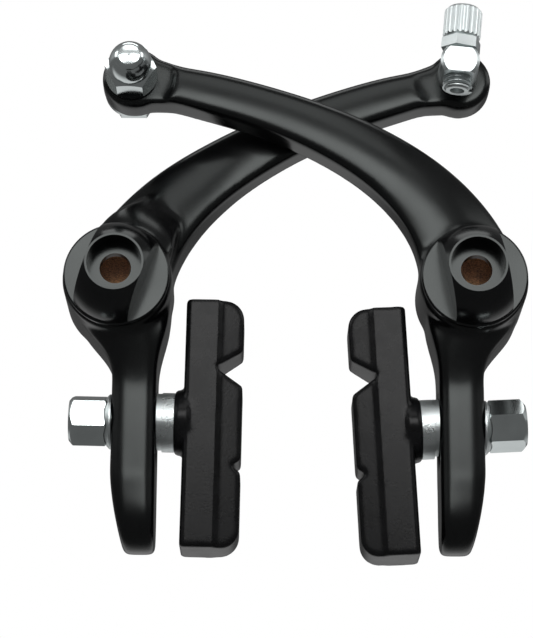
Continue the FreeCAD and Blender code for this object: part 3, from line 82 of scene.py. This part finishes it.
# Forged and moulded skins: how close the mesh points stand and how far the edges run into each other
MERGE_REACH = 0.002 * MM
BLOCK_VOXEL = 0.28 * MM
BLOCK_SOFTENING = 36
ARM_VOXEL = 0.36 * MM
ARM_SOFTENING = 44
SOFTENING_FACTOR = 0.5
SMOOTH_ANGLE = math.radians(35)

# Range in which most of a noise's factor lies
NOISE_LOW = 0.3
NOISE_HIGH = 0.7

# Black anodised alloy, with clouds and grains counted per metre
BLACK_SHADE = (0.002, 0.002, 0.0023)
BLACK_CLOUD_SHARE = 0.7
BLACK_CLOUDS = 60
BLACK_GLOSS = 0.36
BLACK_GLOSS_TINT = (0.94, 1, 0.98, 1)
BLACK_GRAINS = 2600
BLACK_GRAIN_STRENGTH = 0.05
BLACK_RELIEF = 0.02 * MM

# Bright metals, with smears counted per metre
CHROME_SHADE = (0.76, 0.82, 0.82)
STEEL_SHADE = (0.74, 0.79, 0.79)
ALLOY_SHADE = (0.68, 0.73, 0.73)
SPRING_SHADE = (0.33, 0.33, 0.34)
DULL_SHARE = 0.88
DULL_FROM = 0.35
DULL_TO = 0.65
SMEARS = 140
FINE_RELIEF = 0.03 * MM
COARSE_RELIEF = 0.08 * MM

# Rubber of the blocks, with dust patches and skin bumps counted per metre
RUBBER_SHADE = (0.003, 0.003, 0.0032)
DUSTY_SHADE = (0.005, 0.0052, 0.0056)
RUBBER_DUST = 220
RUBBER_ROUGHNESS = (0.2, 0.27)
RUBBER_GLOSS = 0.15
RUBBER_BUMPS = 1800
RUBBER_BUMP_STRENGTH = 0.25
RUBBER_RELIEF = 0.05 * MM

# Sintered bronze of the bushes, with pores counted per metre
PORE_SHADE = (0.1, 0.05, 0.022)
BRONZE_SHADE = (0.56, 0.3, 0.14)
PORE_FROM = 0.4
PORE_TO = 0.58
BRONZE_PORES = 2400
BRONZE_GLOSS = 0.1
BRONZE_ROUGHNESS = 0.8
PORE_STRENGTH = 0.4
PORE_RELIEF = 0.06 * MM

# Floor, low enough for the pads at the lower end of their slots
FLOOR_DROP = 10.5 * MM
FLOOR_SIZE = 3.0
FLOOR_SHADE = (0.86, 0.86, 0.86, 1)
FLOOR_ROUGHNESS = 0.8

# Levels of the surroundings, where 1 is white: what lights the part and what its gloss mirrors
WHITE_LEVEL = 1.0
LIGHT_LEVEL = 0.42
FRONT_LEVEL = 0.4
HIGH_FRONT_LEVEL = 0.2
HIGH_REAR_LEVEL = 0.15
LOW_LEVEL = 0.12
LOW_REAR_LEVEL = 0.65

# Stretch of a direction's part, up or to the rear, over which one mirrored level turns into the next
HIGH_FRONT_FADE = (0.5, 0.7)
HIGH_REAR_FADE = (0.3, 0.8)
REAR_DEPTH_FADE = (0.0, -0.2)
LOW_REAR_FADE = (0.45, 0.75)
LOW_FADE = (0.34, 0.22)

# Point that all lamps are aimed at
LAMP_TARGET = Vector((0, 0, 0))


# Node materials

def new_material(name):
    """Empty material with a Principled shader; returns the material, its node tree and the shader."""
    material = bpy.data.materials.new(name)
    material.use_nodes = True
    tree = material.node_tree
    tree.nodes.clear()
    output = tree.nodes.new("ShaderNodeOutputMaterial")
    shader = tree.nodes.new("ShaderNodeBsdfPrincipled")
    tree.links.new(shader.outputs["BSDF"], output.inputs["Surface"])
    return material, tree, shader


def object_noise(tree, scale, detail=3.0, roughness=0.5):
    """Noise over object coordinates; scale counts patches per metre."""
    place = tree.nodes.new("ShaderNodeTexCoord")
    noise = tree.nodes.new("ShaderNodeTexNoise")
    noise.inputs["Scale"].default_value = scale
    noise.inputs["Detail"].default_value = detail
    noise.inputs["Roughness"].default_value = roughness
    tree.links.new(place.outputs["Object"], noise.inputs["Vector"])
    return noise.outputs["Fac"]


def ramp(tree, factor, stops):
    """Colour ramp over a factor, between two stops of (position, colour)."""
    node = tree.nodes.new("ShaderNodeValToRGB")
    for element, (position, colour) in zip(node.color_ramp.elements, stops):
        element.position = position
        element.color = (*colour, 1)
    tree.links.new(factor, node.inputs["Fac"])
    return node.outputs["Color"]


def spread(tree, factor, low, high):
    """Map a noise's factor to a range of values."""
    node = tree.nodes.new("ShaderNodeMapRange")
    node.inputs["From Min"].default_value = NOISE_LOW
    node.inputs["From Max"].default_value = NOISE_HIGH
    node.inputs["To Min"].default_value = low
    node.inputs["To Max"].default_value = high
    tree.links.new(factor, node.inputs["Value"])
    return node.outputs["Result"]


def bump(tree, shader, height, strength, relief):
    """Relief on a shader's normal."""
    node = tree.nodes.new("ShaderNodeBump")
    node.inputs["Strength"].default_value = strength
    node.inputs["Distance"].default_value = relief
    tree.links.new(height, node.inputs["Height"])
    tree.links.new(node.outputs["Normal"], shader.inputs["Normal"])


def shader_mix(tree, factor, first, second):
    """Shader that turns from the first into the second as a factor goes from 0 to 1."""
    node = tree.nodes.new("ShaderNodeMixShader")
    tree.links.new(factor, node.inputs["Fac"])
    tree.links.new(first, node.inputs[1])
    tree.links.new(second, node.inputs[2])
    return node.outputs["Shader"]


def black_finish(name, roughness):
    """Black anodised alloy: deep colour, soft gloss and a faint grain under it."""
    material, tree, shader = new_material(name)
    clouds = object_noise(tree, BLACK_CLOUDS)
    dark = tuple(BLACK_CLOUD_SHARE * part for part in BLACK_SHADE)
    stops = [(NOISE_LOW, dark), (NOISE_HIGH, BLACK_SHADE)]
    tree.links.new(ramp(tree, clouds, stops), shader.inputs["Base Color"])
    tree.links.new(spread(tree, clouds, *roughness), shader.inputs["Roughness"])
    shader.inputs["Specular IOR Level"].default_value = BLACK_GLOSS
    shader.inputs["Specular Tint"].default_value = BLACK_GLOSS_TINT
    grain = object_noise(tree, BLACK_GRAINS, detail=2.0)
    bump(tree, shader, grain, BLACK_GRAIN_STRENGTH, BLACK_RELIEF)
    return material


def bright_finish(name, shade, roughness, grains, strength, relief=FINE_RELIEF):
    """Plated or turned metal with smears in its gloss and a grain; grains are counted per metre."""
    material, tree, shader = new_material(name)
    smears = object_noise(tree, SMEARS, detail=4.0)
    dull = tuple(DULL_SHARE * part for part in shade)
    stops = [(DULL_FROM, dull), (DULL_TO, shade)]
    tree.links.new(ramp(tree, smears, stops), shader.inputs["Base Color"])
    tree.links.new(spread(tree, smears, *roughness), shader.inputs["Roughness"])
    shader.inputs["Metallic"].default_value = 1.0
    grain = object_noise(tree, grains, detail=2.0)
    bump(tree, shader, grain, strength, relief)
    return material


def rubber_finish():
    """Moulded rubber: near black, with a weak gloss, a fine skin and dusty patches."""
    material, tree, shader = new_material("moulded_rubber")
    dust = object_noise(tree, RUBBER_DUST, detail=5.0, roughness=0.6)
    stops = [(NOISE_LOW, RUBBER_SHADE), (NOISE_HIGH, DUSTY_SHADE)]
    tree.links.new(ramp(tree, dust, stops), shader.inputs["Base Color"])
    tree.links.new(spread(tree, dust, *RUBBER_ROUGHNESS), shader.inputs["Roughness"])
    shader.inputs["Specular IOR Level"].default_value = RUBBER_GLOSS
    skin = object_noise(tree, RUBBER_BUMPS, detail=3.0)
    bump(tree, shader, skin, RUBBER_BUMP_STRENGTH, RUBBER_RELIEF)
    return material


def bronze_finish():
    """Sintered bronze: brown, dull and speckled with pores."""
    material, tree, shader = new_material("sintered_bronze")
    pores = object_noise(tree, BRONZE_PORES, detail=2.0, roughness=0.7)
    stops = [(PORE_FROM, PORE_SHADE), (PORE_TO, BRONZE_SHADE)]
    tree.links.new(ramp(tree, pores, stops), shader.inputs["Base Color"])
    shader.inputs["Specular IOR Level"].default_value = BRONZE_GLOSS
    shader.inputs["Roughness"].default_value = BRONZE_ROUGHNESS
    bump(tree, shader, pores, PORE_STRENGTH, PORE_RELIEF)
    return material


def put_finish(thing, material):
    """Give an object's mesh one material."""
    thing.data.materials.clear()
    thing.data.materials.append(material)


# Finishes by the record's material slots
FINISHES = {
    "black_arms": black_finish("black_arms", roughness=(0.19, 0.25)),
    "black_caps": black_finish("black_caps", roughness=(0.17, 0.23)),
    "chrome_steel": bright_finish(
        "chrome", CHROME_SHADE, roughness=(0.1, 0.18), grains=900, strength=0.05),
    "satin_steel": bright_finish(
        "satin_steel", STEEL_SHADE, roughness=(0.24, 0.34), grains=4600, strength=1.0,
        relief=COARSE_RELIEF),
    "bright_alloy": bright_finish(
        "bright_alloy", ALLOY_SHADE, roughness=(0.34, 0.44), grains=1800, strength=0.2),
    "spring_steel": bright_finish(
        "spring_steel", SPRING_SHADE, roughness=(0.3, 0.42), grains=1500, strength=0.2),
    "rubber": rubber_finish(),
    "bronze": bronze_finish(),
}
for subpart in frame["record"]["subparts"]:
    put_finish(nodes[subpart["node"]], FINISHES[subpart["material_slot"]])

# Two pieces of the adjuster are frosted, in place of their slot's finish
frosted_steel = bright_finish(
    "frosted_steel", STEEL_SHADE, roughness=(0.34, 0.46), grains=4600, strength=0.8)
for frosted in ("swivel_block", "barrel_lock_nut"):
    put_finish(nodes[frosted], frosted_steel)


# Pieces

def finish_piece(piece, body, slot):
    """Place a piece in its mesh, give it its slot's finish and let it ride on its body."""
    bpy.ops.object.select_all(action="DESELECT")
    piece.select_set(True)
    bpy.context.view_layer.objects.active = piece
    bpy.ops.object.transform_apply(location=True, rotation=True, scale=True)
    bpy.ops.object.shade_smooth_by_angle(angle=SMOOTH_ANGLE)
    put_finish(piece, FINISHES[slot])
    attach(piece, body)


def barrel_thread():
    """Thread ridge around the barrel's lower end: a small triangle swept along a screw line."""
    bpy.ops.object.select_all(action="DESELECT")
    bpy.ops.mesh.primitive_circle_add(vertices=RIDGE_CORNERS, radius=THREAD_PITCH / 2, fill_type="NOTHING",
                                      location=(THREAD_RADIUS, 0, 0), rotation=(QUARTER_TURN, 0, 0))
    ridge = bpy.context.object
    ridge.name = "barrel_thread"
    bpy.ops.object.transform_apply(location=True, rotation=True, scale=False)
    screw = ridge.modifiers.new("thread", "SCREW")
    screw.axis = "Z"
    screw.angle = math.tau
    screw.screw_offset = THREAD_PITCH
    screw.iterations = THREAD_TURNS
    screw.steps = STEPS_PER_TURN
    screw.render_steps = STEPS_PER_TURN
    screw.use_merge_vertices = False
    bpy.ops.object.modifier_apply(modifier="thread")
    swivel = Matrix.Translation(SWIVEL_PLACE) @ Matrix.Rotation(SWIVEL_LEAN, 4, "Y")
    ridge.matrix_world = swivel @ Matrix.Translation((0, 0, THREAD_FOOT))
    finish_piece(ridge, "barrel", "bright_alloy")


def soft_skin(node, name, voxel, softening, body, slot):
    """Forged or moulded piece: the solid's form with its edges and steps run softly into each other."""
    bpy.ops.object.select_all(action="DESELECT")
    block = nodes[node].copy()
    block.data = nodes[node].data.copy()
    block.name = name
    bpy.context.scene.collection.objects.link(block)
    block.select_set(True)
    bpy.context.view_layer.objects.active = block
    bpy.ops.object.mode_set(mode="EDIT")
    bpy.ops.mesh.select_all(action="SELECT")
    bpy.ops.mesh.remove_doubles(threshold=MERGE_REACH)
    bpy.ops.object.mode_set(mode="OBJECT")
    skin = block.modifiers.new("skin", "REMESH")
    skin.mode = "VOXEL"
    skin.voxel_size = voxel
    bpy.ops.object.modifier_apply(modifier="skin")
    soften = block.modifiers.new("soften", "SMOOTH")
    soften.factor = SOFTENING_FACTOR
    soften.iterations = softening
    bpy.ops.object.modifier_apply(modifier="soften")
    finish_piece(block, body, slot)
    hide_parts(node)


# Stage

def make_camera():
    """Camera at the photograph's viewing angle."""
    camera = bpy.data.cameras.new("camera")
    camera.sensor_fit = "VERTICAL"
    camera.sensor_height = SENSOR_HEIGHT
    camera.lens = FOCAL_PIXELS / FRAME_HEIGHT * SENSOR_HEIGHT
    camera.clip_start = NEAREST_SEEN
    camera.clip_end = FARTHEST_SEEN
    eye = bpy.data.objects.new("camera", camera)
    upright = Matrix.Rotation(QUARTER_TURN + CAMERA_TILT, 4, "X")
    eye.matrix_world = Matrix.Translation(CAMERA_PLACE) @ upright @ Matrix.Rotation(CAMERA_ROLL, 4, "Z")
    bpy.context.scene.collection.objects.link(eye)
    bpy.context.scene.camera = eye


def make_floor():
    """Pale floor that can be seen through from below."""
    bpy.ops.object.select_all(action="DESELECT")
    bpy.ops.mesh.primitive_plane_add(size=FLOOR_SIZE, location=(0, 0, cad_low.z - FLOOR_DROP))
    floor = bpy.context.object
    floor.name = "floor"
    material, tree, shader = new_material("pale_floor")
    shader.inputs["Base Color"].default_value = FLOOR_SHADE
    shader.inputs["Roughness"].default_value = FLOOR_ROUGHNESS
    side = tree.nodes.new("ShaderNodeNewGeometry")
    clear = tree.nodes.new("ShaderNodeBsdfTransparent")
    output = next(node for node in tree.nodes if node.type == "OUTPUT_MATERIAL")
    both_sides = shader_mix(tree, side.outputs["Backfacing"], shader.outputs["BSDF"], clear.outputs["BSDF"])
    tree.links.new(both_sides, output.inputs["Surface"])
    floor.data.materials.append(material)
    floor.visible_glossy = False


def soft_box(name, place, width, height, radiance):
    """Area lamp of a given brightness, aimed at the lamps' target."""
    lamp = bpy.data.lights.new(name, "AREA")
    lamp.shape = "RECTANGLE"
    lamp.size = width
    lamp.size_y = height
    lamp.energy = radiance * math.pi * width * height
    box = bpy.data.objects.new(name, lamp)
    box.location = place
    aim = LAMP_TARGET - Vector(place)
    box.rotation_euler = aim.to_track_quat("-Z", "Y").to_euler()
    bpy.context.scene.collection.objects.link(box)


def by_direction(tree, axis, fade, low, high):
    """Value that runs from low to high as a direction's part along an axis runs through a fade."""
    node = tree.nodes.new("ShaderNodeMapRange")
    start, end = fade
    node.inputs["From Min"].default_value = start
    node.inputs["From Max"].default_value = end
    for name, level in (("To Min", low), ("To Max", high)):
        if isinstance(level, float):
            node.inputs[name].default_value = level
        else:
            tree.links.new(level, node.inputs[name])
    tree.links.new(axis, node.inputs["Value"])
    return node.outputs["Result"]


def background(tree, level):
    """Surroundings of one grey level."""
    node = tree.nodes.new("ShaderNodeBackground")
    node.inputs["Color"].default_value = (level, level, level, 1)
    return node


def make_world():
    """White surroundings to the eye. Gloss mirrors a dim studio, dark low in front and pale low behind."""
    world = bpy.data.worlds.new("studio")
    bpy.context.scene.world = world
    world.use_nodes = True
    tree = world.node_tree
    tree.nodes.clear()
    output = tree.nodes.new("ShaderNodeOutputWorld")
    light = background(tree, LIGHT_LEVEL)
    white = background(tree, WHITE_LEVEL)
    mirrored = background(tree, WHITE_LEVEL)
    place = tree.nodes.new("ShaderNodeTexCoord")
    parts = tree.nodes.new("ShaderNodeSeparateXYZ")
    tree.links.new(place.outputs["Generated"], parts.inputs["Vector"])
    rearward = parts.outputs["Y"]
    upward = parts.outputs["Z"]
    front = by_direction(tree, upward, HIGH_FRONT_FADE, FRONT_LEVEL, HIGH_FRONT_LEVEL)
    above = by_direction(tree, rearward, HIGH_REAR_FADE, front, HIGH_REAR_LEVEL)
    behind = by_direction(tree, upward, REAR_DEPTH_FADE, LOW_LEVEL, LOW_REAR_LEVEL)
    below = by_direction(tree, rearward, LOW_REAR_FADE, LOW_LEVEL, behind)
    all_round = by_direction(tree, upward, LOW_FADE, above, below)
    tree.links.new(all_round, mirrored.inputs["Strength"])
    path = tree.nodes.new("ShaderNodeLightPath")
    seen = tree.nodes.new("ShaderNodeMath")
    seen.operation = "MAXIMUM"
    tree.links.new(path.outputs["Is Camera Ray"], seen.inputs[0])
    tree.links.new(path.outputs["Is Transmission Ray"], seen.inputs[1])
    unseen = shader_mix(tree, path.outputs["Is Glossy Ray"], light.outputs["Background"],
                        mirrored.outputs["Background"])
    final = shader_mix(tree, seen.outputs["Value"], unseen, white.outputs["Background"])
    tree.links.new(final, output.inputs["Surface"])


make_camera()
barrel_thread()
for side in ("left", "right"):
    soft_skin(f"{side}_pad_rubber", f"{side}_pad_block", BLOCK_VOXEL, BLOCK_SOFTENING,
              f"{side}_pad", "rubber")
for arm in ("front_arm", "rear_arm"):
    soft_skin(arm, f"{arm}_forging", ARM_VOXEL, ARM_SOFTENING, arm, "black_arms")
make_floor()
make_world()
soft_box("front_box", place=(0, -0.75, 0.233), width=0.7, height=0.21, radiance=5.2)
for name, across in (("left_box", -0.8), ("right_box", 0.8)):
    soft_box(name, place=(across, -0.25, 0.44), width=0.9, height=0.34, radiance=1.5)
soft_box("upper_box", place=(0, -0.62, 0.6), width=0.5, height=0.26, radiance=1.6)
soft_box("top_box", place=(0, -0.05, 0.9), width=0.7, height=0.4, radiance=2.0)

bpy.context.scene.view_settings.view_transform = "Standard"
